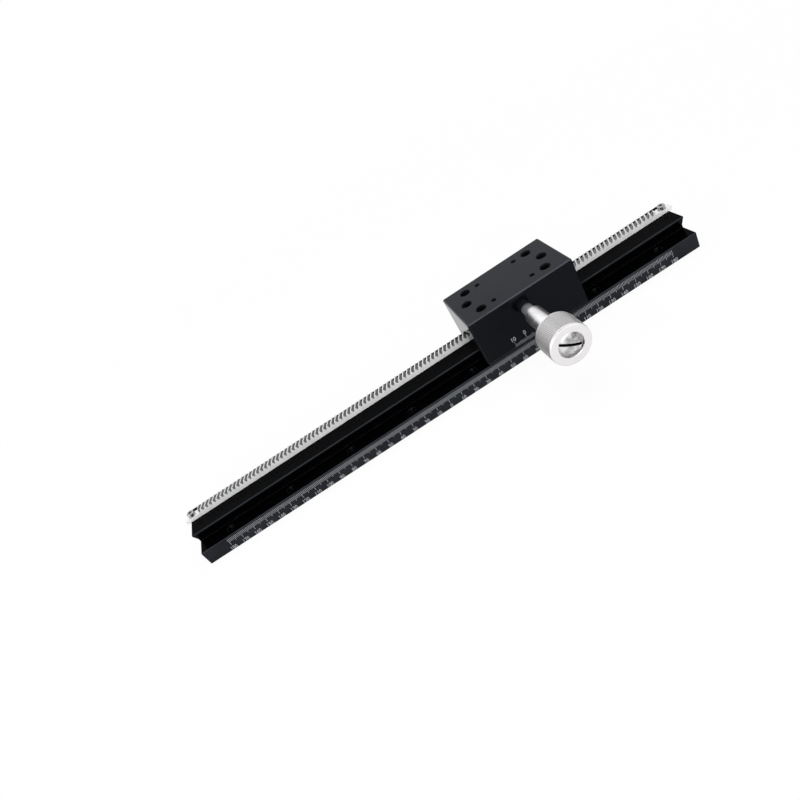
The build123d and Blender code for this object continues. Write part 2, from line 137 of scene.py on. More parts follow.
# materials
surfaceLook = {
    "grainHeight": 0.04 * mm,  # drawn grain on flat and ground faces
    "toolHeight": 0.02 * mm,  # lathe and engraving marks
    "flatShare": (0.90, 0.96),  # a face counts as flat between these shares of its normal
    "slantShare": (0.85, 0.92),
}


def startMaterial(name):
    material = bpy.data.materials.new(name)
    material.use_nodes = True
    tree = material.node_tree
    shader = tree.nodes["Principled BSDF"]
    place = addNode(tree, "ShaderNodeTexCoord").outputs["Object"]
    return material, tree, shader, place


def placed(tree, place, location=(0, 0, 0), scale=(1, 1, 1), rotation=(0, 0, 0)):
    mapping = addNode(tree, "ShaderNodeMapping")
    mapping.inputs["Location"].default_value = location
    mapping.inputs["Scale"].default_value = scale
    mapping.inputs["Rotation"].default_value = rotation
    link(tree, place, mapping.inputs["Vector"])
    return mapping.outputs["Vector"]


def noise(tree, place, scale, detail=3.0):
    node = addNode(tree, "ShaderNodeTexNoise", {"Scale": scale, "Detail": detail, "Roughness": 0.55})
    link(tree, place, node.inputs["Vector"])
    return node.outputs["Fac"]


def spread(tree, value, low, high, fromLow=0.3, fromHigh=0.7):
    limits = {"From Min": fromLow, "From Max": fromHigh, "To Min": low, "To Max": high}
    node = addNode(tree, "ShaderNodeMapRange", limits, clamp=True)
    link(tree, value, node.inputs["Value"])
    return node.outputs["Result"]


def colourMix(tree, factor, first, second):
    node = addNode(tree, "ShaderNodeMix", data_type="RGBA")
    link(tree, factor, node.inputs["Factor"])
    for key, value in (("A", first), ("B", second)):
        socket = next(s for s in node.inputs if s.name == key and s.type == "RGBA")
        if isinstance(value, tuple):
            socket.default_value = (*value, 1)
        else:
            link(tree, value, socket)
    return next(s for s in node.outputs if s.type == "RGBA")


def edgeMask(tree, radius, low=0.03, high=0.25):
    bevel = addNode(tree, "ShaderNodeBevel", samples=4)
    bevel.inputs["Radius"].default_value = radius
    facing = addNode(tree, "ShaderNodeNewGeometry").outputs["Normal"]
    dot = addNode(tree, "ShaderNodeVectorMath", operation="DOT_PRODUCT")
    link(tree, bevel.outputs["Normal"], dot.inputs[0])
    link(tree, facing, dot.inputs[1])
    turnedAway = mathStep(tree, "SUBTRACT", 1.0, dot.outputs["Value"])
    return spread(tree, turnedAway, 0.0, 1.0, low, high), bevel.outputs["Normal"]


def bumpFrom(tree, shader, height, strength, distance, under=None):
    bump = addNode(tree, "ShaderNodeBump", {"Strength": strength, "Distance": distance})
    link(tree, height, bump.inputs["Height"])
    if under is not None:
        link(tree, under, bump.inputs["Normal"])
    link(tree, bump.outputs["Normal"], shader.inputs["Normal"])


# how far a surface faces along each axis, and how far it slants at 45 degrees
def faceShares(tree):
    parts = addNode(tree, "ShaderNodeSeparateXYZ")
    link(tree, addNode(tree, "ShaderNodeTexCoord").outputs["Normal"], parts.inputs[0])
    shares = {}
    for axis in "XYZ":
        flat = mathStep(tree, "ABSOLUTE", parts.outputs[axis])
        shares[axis] = spread(tree, flat, 0, 1, *surfaceLook["flatShare"])
    rise = mathStep(tree, "MULTIPLY", parts.outputs["Z"], parts.outputs["Z"])
    fromSlant = mathStep(tree, "ABSOLUTE", mathStep(tree, "SUBTRACT", rise, 0.5))
    slant = mathStep(tree, "SUBTRACT", 1.0, fromSlant)
    shares["slant"] = spread(tree, slant, 0, 1, *surfaceLook["slantShare"])
    return shares


# one near the outer sides of a box in plan, nought inside it
def outerShare(tree, place, low, high, margin):
    parts = addNode(tree, "ShaderNodeSeparateXYZ")
    link(tree, place, parts.inputs[0])
    reach = []
    for axis in "XY":
        start, end = getattr(low, axis.lower()), getattr(high, axis.lower())
        offset = mathStep(tree, "SUBTRACT", parts.outputs[axis], (start + end) / 2)
        offset = mathStep(tree, "ABSOLUTE", offset)
        reach.append(mathStep(tree, "SUBTRACT", offset, (end - start) / 2 - margin))
    return mathStep(tree, "GREATER_THAN", mathStep(tree, "MAXIMUM", *reach), 0.0)


# one between two heights
def bandShare(tree, place, low, high):
    parts = addNode(tree, "ShaderNodeSeparateXYZ")
    link(tree, place, parts.inputs[0])
    above = mathStep(tree, "GREATER_THAN", parts.outputs["Z"], low)
    return mathStep(tree, "MULTIPLY", above, mathStep(tree, "LESS_THAN", parts.outputs["Z"], high))


def blackAnodised(name, node, look):
    material, tree, shader, place = startMaterial(name)
    cloud = noise(tree, place, look["cloudScale"], 4)
    grain = noise(tree, place, look["grainScale"], 2)
    drawn = noise(tree, placed(tree, place, scale=look["drawScale"]), 1.0, 3)
    shares = faceShares(tree)
    # painted highlight on the outer chamfers, kept off the hole flares
    slant = mathStep(tree, "MULTIPLY", shares["slant"], outerShare(tree, place, *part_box(node), look["rim"]))
    # painted shade: front faces inside the recess band keep the dark slope tone
    outsideShadedRecess = mathStep(tree, "SUBTRACT", 1.0, bandShare(tree, place, *look["recess"]))
    shares["Y"] = mathStep(tree, "MULTIPLY", shares["Y"], outsideShadedRecess)
    # painted light and shade: the black's tone is set separately for fronts, tops, ends and outer chamfers,
    # so each face direction carries its own painted lighting
    toneWithPaintedLight = look["toneWithPaintedLight"]["slope"]
    rough = look["rough"]["slope"]
    for key, share in (("front", shares["Y"]), ("top", shares["Z"]), ("end", shares["X"]), ("slant", slant)):
        toneWithPaintedLight = blend(tree, share, toneWithPaintedLight, look["toneWithPaintedLight"][key])
        rough = blend(tree, share, rough, look["rough"][key])
    toneWithPaintedLight = mathStep(tree, "MULTIPLY", toneWithPaintedLight, spread(tree, cloud, 0.8, 1.2))
    # edge wear and painted highlight: the rims are lifted to a lighter tone
    edgeWearAndSheen, rounded = edgeMask(tree, look["edgeRadius"])
    wornWithPaintedLight = mathStep(tree, "MULTIPLY", edgeWearAndSheen, spread(tree, cloud, look["edgeLow"], look["edgeHigh"]))
    toneWithPaintedLight = mathStep(tree, "MAXIMUM", toneWithPaintedLight, mathStep(tree, "MULTIPLY", wornWithPaintedLight, look["edgeWearAndSheenTone"]))
    tint = addNode(tree, "ShaderNodeVectorMath", operation="SCALE")
    tint.inputs[0].default_value = look["tint"]
    link(tree, toneWithPaintedLight, tint.inputs["Scale"])
    link(tree, tint.outputs[0], shader.inputs["Base Color"])
    shader.inputs["Specular Tint"].default_value = (*look["tint"], 1)
    shader.inputs["IOR"].default_value = look["ior"]
    streak = mathStep(tree, "ADD", spread(tree, cloud, -0.02, 0.02), spread(tree, drawn, -0.03, 0.03))
    link(tree, mathStep(tree, "ADD", rough, streak), shader.inputs["Roughness"])
    height = mathStep(tree, "ADD", grain, mathStep(tree, "MULTIPLY", drawn, 0.6))
    bumpFrom(tree, shader, height, look["bump"], surfaceLook["grainHeight"], rounded)
    return material


# the per-face tones below are painted light and shade on one black finish
railBlack = blackAnodised("railBlack", "rail", {
    "toneWithPaintedLight": {"slope": 0.0008, "front": 0.021, "top": 0.0008, "end": 0.014, "slant": 0.03},
    "rough": {"slope": 0.25, "front": 0.3, "top": 0.2, "end": 0.2, "slant": 0.3},
    "tint": (0.87, 0.96, 1.15), "edgeWearAndSheenTone": 0.09, "edgeLow": 0.3, "edgeHigh": 1.0, "edgeRadius": 0.3 * mm,
    "rim": 1.0, "recess": (12.05 * mm, 20.0 * mm), "cloudScale": 60.0, "grainScale": 5200.0,
    "drawScale": (35.0, 2600.0, 2600.0), "bump": 0.15, "ior": 1.06,
})
carriageBlack = blackAnodised("carriageBlack", "carriage_block", {
    "toneWithPaintedLight": {"slope": 0.0008, "front": 0.0005, "top": 0.0115, "end": 0.003, "slant": 0.06},
    "rough": {"slope": 0.25, "front": 0.18, "top": 0.42, "end": 0.06, "slant": 0.35},
    "tint": (0.87, 0.96, 1.15), "edgeWearAndSheenTone": 0.12, "edgeLow": 0.3, "edgeHigh": 1.0, "edgeRadius": 0.3 * mm,
    "rim": 1.2 * mm, "recess": (0.0, 0.0), "cloudScale": 45.0, "grainScale": 4600.0,
    "drawScale": (900.0, 900.0, 900.0), "bump": 0.15, "ior": 1.21,
})


def bareMetal(name, look):
    material, tree, shader, place = startMaterial(name)
    cloud = noise(tree, place, look["cloudScale"], 4)
    drawn = noise(tree, placed(tree, place, scale=look["drawScale"]), 1.0, 3)
    edgeWearAndSheen, rounded = edgeMask(tree, look["edgeRadius"])
    base = colourMix(tree, spread(tree, cloud, 0, 1), look["dark"], look["light"])
    wornWithPaintedLight = colourMix(tree, edgeWearAndSheen, base, look["edgeColour"])
    if "shadedGap" in look:  # painted shade: darker flanks and roots in the tooth gaps and darker tooth tips, on faces not facing front
        aside = mathStep(tree, "SUBTRACT", 1.0, faceShares(tree)["Y"])
        for part in ("shadedGap", "shadedTip"):
            share = mathStep(tree, "MULTIPLY", aside, bandShare(tree, place, *look[part]))
            wornWithPaintedLight = colourMix(tree, share, wornWithPaintedLight, look[part + "Colour"])
    link(tree, wornWithPaintedLight, shader.inputs["Base Color"])
    streak = spread(tree, drawn, look["roughLow"], look["roughHigh"])
    link(tree, mathStep(tree, "ADD", spread(tree, cloud, -0.03, 0.03), streak), shader.inputs["Roughness"])
    bumpFrom(tree, shader, drawn, look["bump"], surfaceLook["grainHeight"], rounded)
    shader.inputs["Metallic"].default_value = look["metallic"]
    return material


rackSteel = bareMetal("rackSteel", {
    "dark": (0.82, 0.82, 0.83), "light": (0.92, 0.92, 0.92), "edgeColour": (0.93, 0.93, 0.93),
    "edgeRadius": 0.12 * mm, "cloudScale": 140.0, "drawScale": (2200.0, 60.0, 2200.0),
    "roughLow": 0.42, "roughHigh": 0.52, "bump": 0.3, "metallic": 0.2,
    # painted shade in the tooth gaps and on the tooth tips
    "shadedGap": (25.0 * mm, 27.38 * mm), "shadedGapColour": (0.21, 0.21, 0.215),
    "shadedTip": (27.38 * mm, 27.6 * mm), "shadedTipColour": (0.72, 0.72, 0.725),
})
screwSteel = bareMetal("screwSteel", {
    "dark": (0.30, 0.30, 0.31), "light": (0.44, 0.44, 0.45), "edgeColour": (0.62, 0.62, 0.62),
    "edgeRadius": 0.15 * mm, "cloudScale": 500.0, "drawScale": (1500.0, 1500.0, 1500.0),
    "roughLow": 0.2, "roughHigh": 0.32, "bump": 0.2, "metallic": 1.0,
})
blackScrew = bareMetal("blackScrew", {
    "dark": (0.02, 0.02, 0.022), "light": (0.045, 0.045, 0.048), "edgeColour": (0.22, 0.21, 0.2),
    "edgeRadius": 0.12 * mm, "cloudScale": 700.0, "drawScale": (1500.0, 1500.0, 1500.0),
    "roughLow": 0.3, "roughHigh": 0.42, "bump": 0.2, "metallic": 1.0,
})
gibBrass = bareMetal("gibBrass", {
    "dark": (0.58, 0.40, 0.15), "light": (0.72, 0.53, 0.24), "edgeColour": (0.85, 0.68, 0.38),
    "edgeRadius": 0.15 * mm, "cloudScale": 300.0, "drawScale": (120.0, 2400.0, 2400.0),
    "roughLow": 0.25, "roughHigh": 0.4, "bump": 0.25, "metallic": 1.0,
})
bearingBronze = bareMetal("bearingBronze", {
    "dark": (0.38, 0.22, 0.09), "light": (0.52, 0.33, 0.15), "edgeColour": (0.68, 0.48, 0.26),
    "edgeRadius": 0.15 * mm, "cloudScale": 600.0, "drawScale": (1800.0, 300.0, 1800.0),
    "roughLow": 0.28, "roughHigh": 0.42, "bump": 0.2, "metallic": 1.0,
})
springSteel = bareMetal("springSteel", {
    "dark": (0.2, 0.2, 0.22), "light": (0.33, 0.33, 0.35), "edgeColour": (0.55, 0.55, 0.56),
    "edgeRadius": 0.1 * mm, "cloudScale": 500.0, "drawScale": (1200.0, 1200.0, 1200.0),
    "roughLow": 0.25, "roughHigh": 0.35, "bump": 0.15, "metallic": 1.0,
})
gearSteel = bareMetal("gearSteel", {
    "dark": (0.42, 0.42, 0.43), "light": (0.56, 0.56, 0.57), "edgeColour": (0.8, 0.8, 0.8),
    "edgeRadius": 0.12 * mm, "cloudScale": 350.0, "drawScale": (1500.0, 300.0, 1500.0),
    "roughLow": 0.22, "roughHigh": 0.35, "bump": 0.2, "metallic": 1.0,
})


# rings on the end faces and bands round the sides, as a lathe tool leaves them
def turnedMetal(name, look):
    material, tree, shader, place = startMaterial(name)
    centred = placed(tree, place, location=-shaftSpot)
    marks = {"Scale": look["ringScale"], "Distortion": look["ringWander"], "Detail": 2.0}
    rings = addNode(tree, "ShaderNodeTexWave", marks, wave_type="RINGS", rings_direction="Y")
    bands = addNode(tree, "ShaderNodeTexWave", marks, wave_type="BANDS", bands_direction="Y")
    for wave in (rings, bands):
        link(tree, centred, wave.inputs["Vector"])
    endShare = faceShares(tree)["Y"]
    tooled = blend(tree, endShare, bands.outputs["Fac"], rings.outputs["Fac"])
    cloud = noise(tree, place, look["cloudScale"], 4)
    edgeWearAndSheen, rounded = edgeMask(tree, look["edgeRadius"])
    base = colourMix(tree, spread(tree, cloud, 0, 1), look["dark"], look["light"])
    if "endColour" in look:
        base = colourMix(tree, endShare, base, look["endColour"])
    base = colourMix(tree, edgeWearAndSheen, base, look["edgeColour"])
    if "valleyShade" in look:  # painted shade in the knurl valleys, by distance from the axis
        flat = addNode(tree, "ShaderNodeVectorMath", operation="MULTIPLY")
        flat.inputs[1].default_value = (1, 0, 1)
        link(tree, centred, flat.inputs[0])
        away = addNode(tree, "ShaderNodeVectorMath", operation="LENGTH")
        link(tree, flat.outputs[0], away.inputs[0])
        crest = spread(tree, away.outputs["Value"], 0, 1, *look["crest"])
        base = colourMix(tree, crest, look["valleyShade"], base)
    if "slotHalf" in look:  # painted shade in the driver slot
        turned = placed(tree, centred, rotation=(0, look["slotTurn"], 0))
        parts = addNode(tree, "ShaderNodeSeparateXYZ")
        link(tree, turned, parts.inputs[0])
        inside = mathStep(tree, "ABSOLUTE", parts.outputs["Z"])
        inside = mathStep(tree, "LESS_THAN", inside, look["slotHalf"])
        base = colourMix(tree, inside, base, look["slotShade"])
    link(tree, base, shader.inputs["Base Color"])
    streak = spread(tree, tooled, look["roughLow"], look["roughHigh"], 0, 1)
    link(tree, mathStep(tree, "ADD", spread(tree, cloud, -0.03, 0.03), streak), shader.inputs["Roughness"])
    bumpFrom(tree, shader, tooled, look["bump"], surfaceLook["toolHeight"], rounded)
    shader.inputs["Metallic"].default_value = look["metallic"]
    return material


knobMetal = turnedMetal("knobMetal", {
    "dark": (0.78, 0.765, 0.775), "light": (0.88, 0.865, 0.875), "endColour": (0.82, 0.80, 0.81),
    "edgeColour": (0.9, 0.89, 0.89), "edgeRadius": 0.3 * mm, "cloudScale": 120.0, "ringScale": 900.0,
    "ringWander": 0.6, "roughLow": 0.26, "roughHigh": 0.36, "bump": 0.25, "metallic": 1.0,
})
knurlMetal = turnedMetal("knurlMetal", {
    "dark": (0.76, 0.75, 0.755), "light": (0.92, 0.91, 0.915), "edgeColour": (0.92, 0.91, 0.915),
    # painted shade in the knurl valleys
    "valleyShade": (0.03, 0.028, 0.029), "crest": (13.78 * mm, 13.94 * mm),
    "edgeRadius": 0.1 * mm, "cloudScale": 300.0, "ringScale": 900.0,
    "ringWander": 0.6, "roughLow": 0.3, "roughHigh": 0.4, "bump": 0.2, "metallic": 1.0,
})
knobScrewSteel = turnedMetal("knobScrewSteel", {
    # painted reflection: wide random dark and light patches on the screw head stand in for its reflections
    "dark": (0.16, 0.157, 0.16), "light": (0.80, 0.79, 0.80), "edgeColour": (0.7, 0.7, 0.7),
    # painted shade in the driver slot
    "slotHalf": 0.93 * mm, "slotTurn": math.radians(-30), "slotShade": (0.006, 0.006, 0.006),
    "edgeRadius": 0.2 * mm, "cloudScale": 170.0, "ringScale": 1100.0,
    "ringWander": 0.5, "roughLow": 0.24, "roughHigh": 0.34, "bump": 0.2, "metallic": 1.0,
})
shaftSteel = turnedMetal("shaftSteel", {
    "dark": (0.52, 0.55, 0.58), "light": (0.62, 0.65, 0.68), "endColour": (0.5, 0.52, 0.55),
    "edgeColour": (0.7, 0.7, 0.72), "edgeRadius": 0.2 * mm, "cloudScale": 200.0, "ringScale": 1200.0,
    "ringWander": 0.4, "roughLow": 0.34, "roughHigh": 0.44, "bump": 0.15, "metallic": 0.8,
})


def engravedPaint(name, look):
    material, tree, shader, place = startMaterial(name)
    speck = noise(tree, place, look["speckScale"], 3)
    base = colourMix(tree, spread(tree, speck, 0, 1), look["dark"], look["light"])
    link(tree, base, shader.inputs["Base Color"])
    link(tree, spread(tree, speck, look["roughLow"], look["roughHigh"]), shader.inputs["Roughness"])
    bumpFrom(tree, shader, speck, look["bump"], surfaceLook["toolHeight"])
    return material


scalePaint = engravedPaint("scalePaint", {
    "dark": (0.26, 0.27, 0.28), "light": (0.42, 0.43, 0.45), "speckScale": 2600.0,
    "roughLow": 0.5, "roughHigh": 0.7, "bump": 0.3,
})

finishes = {
    "rail": railBlack, "rack": rackSteel, "rack_screws": screwSteel, "rack_dowels": screwSteel,
    "carriage_block": carriageBlack, "bearing_cap": carriageBlack, "gib_strip": gibBrass,
    "gib_screws": blackScrew, "bearing_cap_screws": blackScrew, "front_bush": bearingBronze,
    "front_thrust_washer": bearingBronze, "rear_bush": bearingBronze, "rear_thrust_washer": bearingBronze,
    "disc_spring": springSteel, "retaining_ring": springSteel, "pinion": gearSteel,
    "pinion_shaft": shaftSteel, "pinion_key": shaftSteel, "knob_key": shaftSteel,
    "knob": knobMetal, "knob_screw": knobScrewSteel,
}
for nodeName, material in finishes.items():
    nodes[nodeName].data.materials.clear()
    nodes[nodeName].data.materials.append(material)
print("finishes on", len(finishes), "nodes")


# geometry node trees
def startTree(name, inputs):
    tree = bpy.data.node_groups.new(name, "GeometryNodeTree")
    tree.interface.new_socket("Geometry", in_out="INPUT", socket_type="NodeSocketGeometry")
    for label, kind in inputs.items():
        tree.interface.new_socket(label, in_out="INPUT", socket_type="NodeSocket" + kind)
    tree.interface.new_socket("Geometry", in_out="OUTPUT", socket_type="NodeSocketGeometry")
    enter = addNode(tree, "NodeGroupInput")
    leave = addNode(tree, "NodeGroupOutput")
    return tree, enter, leave


def endTree(tree, leave, geometry, material):
    real = addNode(tree, "GeometryNodeRealizeInstances")
    paint = addNode(tree, "GeometryNodeSetMaterial")
    paint.inputs["Material"].default_value = material
    link(tree, geometry, real.inputs["Geometry"])
    link(tree, real.outputs["Geometry"], paint.inputs["Geometry"])
    link(tree, paint.outputs["Geometry"], leave.inputs["Geometry"])


def meshOf(thing):
    bpy.context.view_layer.update()
    return bpy.data.meshes.new_from_object(thing.evaluated_get(bpy.context.evaluated_depsgraph_get()))


def settle(piece, body):
    scene.collection.objects.link(piece)
    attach(piece, body)
    print(piece.name, len(piece.data.polygons), "faces")


def grown(name, tree, values, body, startMesh=None):
    mesh = startMesh or bpy.data.meshes.new(name + "Start")
    source = bpy.data.objects.new(name + "Source", mesh)
    scene.collection.objects.link(source)
    modifier = source.modifiers.new("shape", "NODES")
    modifier.node_group = tree
    for item in tree.interface.items_tree:
        if item.item_type == "SOCKET" and item.in_out == "INPUT" and item.name in values:
            modifier[item.identifier] = values[item.name]
    shape = meshOf(source)
    bpy.data.objects.remove(source)
    settle(bpy.data.objects.new(name, shape), body)


# a row of bars that hang from a line, longer at each fifth and tenth
def tickTree():
    tree, enter, leave = startTree("tickRow", {
        "First": "Vector", "Count": "Int", "Pitch": "Float", "Short": "Float", "Middle": "Float",
        "Long": "Float", "Width": "Float", "Thickness": "Float"})
    given = enter.outputs
    step = addNode(tree, "ShaderNodeCombineXYZ")
    link(tree, given["Pitch"], step.inputs["X"])
    row = addNode(tree, "GeometryNodeMeshLine")
    link(tree, given["Count"], row.inputs["Count"])
    link(tree, given["First"], row.inputs["Start Location"])
    link(tree, step.outputs[0], row.inputs["Offset"])
    index = addNode(tree, "GeometryNodeInputIndex").outputs[0]
    onTen = mathStep(tree, "COMPARE", mathStep(tree, "MODULO", index, 10), 0, 0.5)
    onFive = mathStep(tree, "COMPARE", mathStep(tree, "MODULO", index, 5), 0, 0.5)
    length = blend(tree, onTen, blend(tree, onFive, given["Short"], given["Middle"]), given["Long"])
    size = addNode(tree, "ShaderNodeCombineXYZ")
    link(tree, given["Width"], size.inputs["X"])
    link(tree, given["Thickness"], size.inputs["Y"])
    link(tree, length, size.inputs["Z"])
    bar = addNode(tree, "GeometryNodeMeshCube")
    hang = addNode(tree, "GeometryNodeTransform")
    hang.inputs["Translation"].default_value = (0, 0, -0.5)  # the bar hangs from its point
    link(tree, bar.outputs["Mesh"], hang.inputs["Geometry"])
    spots = addNode(tree, "GeometryNodeInstanceOnPoints")
    link(tree, row.outputs["Mesh"], spots.inputs["Points"])
    link(tree, hang.outputs["Geometry"], spots.inputs["Instance"])
    link(tree, size.outputs[0], spots.inputs["Scale"])
    endTree(tree, leave, spots.outputs["Instances"], scalePaint)
    return tree


def numberRow(name, look, labels, body):
    pieces = []
    for label, spot in labels:
        curve = bpy.data.curves.new(name + "Text", "FONT")
        curve.body = label
        curve.size = look["size"]
        curve.extrude = look["thickness"]
        curve.offset = look["bolder"]
        curve.align_x = "CENTER"
        text = bpy.data.objects.new(name + "Text", curve)
        scene.collection.objects.link(text)
        mesh = meshOf(text)
        bpy.data.objects.remove(text)
        across = [corner.co.x for corner in mesh.vertices]
        squeeze = min(look["narrow"], look["widest"] / (max(across) - min(across)))
        shape = Matrix.Diagonal((squeeze, 1, 1, 1))
        mesh.transform(Matrix.Translation(spot) @ Matrix.Rotation(math.pi / 2, 4, "X") @ shape)
        pieces.append(bpy.data.objects.new(name + "Part", mesh))
        scene.collection.objects.link(pieces[-1])
    with bpy.context.temp_override(active_object=pieces[0], selected_editable_objects=pieces):
        bpy.ops.object.join()
    piece = pieces[0]
    scene.collection.objects.unlink(piece)
    piece.name = name
    piece.data.materials.clear()
    piece.data.materials.append(scalePaint)
    settle(piece, body)


# scale on the rail's front face, counted both ways from its middle
railLow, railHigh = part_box("rail")
scaleLook = {
    "bare": 20 * mm,  # blank rail at each end
    "pitch": 1 * mm,
    "short": 3.2 * mm,
    "middle": 4.4 * mm,
    "long": 5.8 * mm,
    "width": 0.25 * mm,
    "proud": 0.02 * mm,
    "lineTop": 10.6 * mm,
    "numberFoot": 0.6 * mm,
}
ticks = tickTree()
scaleStart = railLow.x + scaleLook["bare"]
tickCount = round((railHigh.x - railLow.x - 2 * scaleLook["bare"]) / scaleLook["pitch"]) + 1
grown("scaleTicks", ticks, {
    "First": (scaleStart, railLow.y - scaleLook["proud"] / 2, scaleLook["lineTop"]),
    "Count": tickCount, "Pitch": scaleLook["pitch"], "Short": scaleLook["short"],
    "Middle": scaleLook["middle"], "Long": scaleLook["long"], "Width": scaleLook["width"],
    "Thickness": scaleLook["proud"],
}, "rail")
numberLook = {
    "size": 4.1 * mm, "thickness": 0.02 * mm, "bolder": 0.03 * mm,
    "narrow": 0.88, "widest": 5.6 * mm,  # long numbers are squeezed to this width
}
scaleLabels = []
for i in range(0, tickCount, 10):
    spot = Vector((scaleStart + i * scaleLook["pitch"], railLow.y, railLow.z + scaleLook["numberFoot"]))
    scaleLabels.append((str(abs(i - tickCount // 2)), spot))
numberRow("scaleNumbers", numberLook, scaleLabels, "rail")

# double vernier on the carriage's front face, ten parts to each side of its nought
blockLow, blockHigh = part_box("carriage_block")
vernierLook = {
    "noughtFromMiddle": -8.5 * mm,
    "pitch": 0.9 * mm,
    "parts": 10,
    "short": 2.4 * mm,
    "middle": 3.2 * mm,
    "long": 4.6 * mm,
    "width": 0.18 * mm,
    "proud": 0.02 * mm,
    "foot": 0.7 * mm,
    "numberFoot": 5.7 * mm,
    "numberSize": 4.5 * mm,
}
nought = (blockLow.x + blockHigh.x) / 2 + vernierLook["noughtFromMiddle"]
reach = vernierLook["parts"] * vernierLook["pitch"]
grown("vernierTicks", ticks, {
    "First": (nought - reach, blockLow.y - vernierLook["proud"] / 2, blockLow.z + vernierLook["foot"]),
    "Count": 2 * vernierLook["parts"] + 1, "Pitch": vernierLook["pitch"], "Short": -vernierLook["short"],
    "Middle": -vernierLook["middle"], "Long": -vernierLook["long"], "Width": vernierLook["width"],
    "Thickness": vernierLook["proud"],
}, "carriage")
vernierLabels = []
for side in (-1, 0, 1):
    spot = Vector((nought + side * reach, blockLow.y, blockLow.z + vernierLook["numberFoot"]))
    vernierLabels.append((str(abs(side) * vernierLook["parts"]), spot))
vernierNumberLook = dict(numberLook, size=vernierLook["numberSize"])
numberRow("vernierNumbers", vernierNumberLook, vernierLabels, "carriage")


# thread ridges in the table's tapped holes
def threadTree():
    tree, enter, leave = startTree("threadRidges", {
        "Radius": "Float", "Pitch": "Float", "Turns": "Float", "Ridge": "Float", "Depth": "Float"})
    given = enter.outputs
    spiral = addNode(tree, "GeometryNodeCurveSpiral", {"Resolution": 28})
    height = mathStep(tree, "MULTIPLY", given["Pitch"], given["Turns"])
    for label, source in (("Rotations", given["Turns"]), ("Start Radius", given["Radius"]),
                          ("End Radius", given["Radius"]), ("Height", height)):
        link(tree, source, spiral.inputs[label])
    outline = addNode(tree, "GeometryNodeCurvePrimitiveCircle", {"Resolution": 4})
    link(tree, given["Ridge"], outline.inputs["Radius"])
    ridge = addNode(tree, "GeometryNodeCurveToMesh", {"Fill Caps": True})
    link(tree, spiral.outputs[0], ridge.inputs["Curve"])
    link(tree, outline.outputs["Curve"], ridge.inputs["Profile Curve"])
    drop = addNode(tree, "ShaderNodeCombineXYZ")
    link(tree, mathStep(tree, "MULTIPLY", given["Depth"], -1), drop.inputs["Z"])
    low = addNode(tree, "GeometryNodeTransform")
    link(tree, ridge.outputs[0], low.inputs["Geometry"])
    link(tree, drop.outputs[0], low.inputs["Translation"])
    spots = addNode(tree, "GeometryNodeInstanceOnPoints")
    link(tree, given["Geometry"], spots.inputs["Points"])
    link(tree, low.outputs["Geometry"], spots.inputs["Instance"])
    endTree(tree, leave, spots.outputs["Instances"], carriageBlack)
    return tree


threadLooks = {
    "largeThreads": {
        "radius": 3.4 * mm, "pitch": 1.25 * mm, "turns": 6.5, "ridge": 0.3 * mm, "depth": 9.4 * mm,
        "spots": [(x, y) for x in (-25, 25) for y in (-15, 15)] + [(-30, 0), (30, 0)],
    },
    "smallThreads": {
        "radius": 1.65 * mm, "pitch": 0.7 * mm, "turns": 9.0, "ridge": 0.18 * mm, "depth": 7.2 * mm,
        "spots": [(x, y) for x in (-15, 15) for y in (-15, 15)],
    },
}
threads = threadTree()
blockMiddle = (blockLow + blockHigh) / 2
for name, look in threadLooks.items():
    holes = bpy.data.meshes.new(name + "Holes")
    corners = [(blockMiddle.x + x * mm, blockMiddle.y + y * mm, blockHigh.z) for x, y in look["spots"]]
    holes.from_pydata(corners, [], [])
    grown(name, threads, {
        "Radius": look["radius"], "Pitch": look["pitch"], "Turns": look["turns"], "Ridge": look["ridge"],
        "Depth": look["depth"],
    }, "carriage", holes)


# diamond knurl round the knob
knobLow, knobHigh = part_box("knob")
knobRadius = (knobHigh.z - knobLow.z) / 2
knurlLook = {
    "around": 48,  # diamonds in one turn
    "pitch": 1.8 * mm,  # length of a diamond along the axis
    "depth": 0.38 * mm,
    "sink": 0.05 * mm,  # valleys below the turned surface
    "rim": 0.9 * mm,  # plain turned rim at each end
    "length": 20 * mm,
}


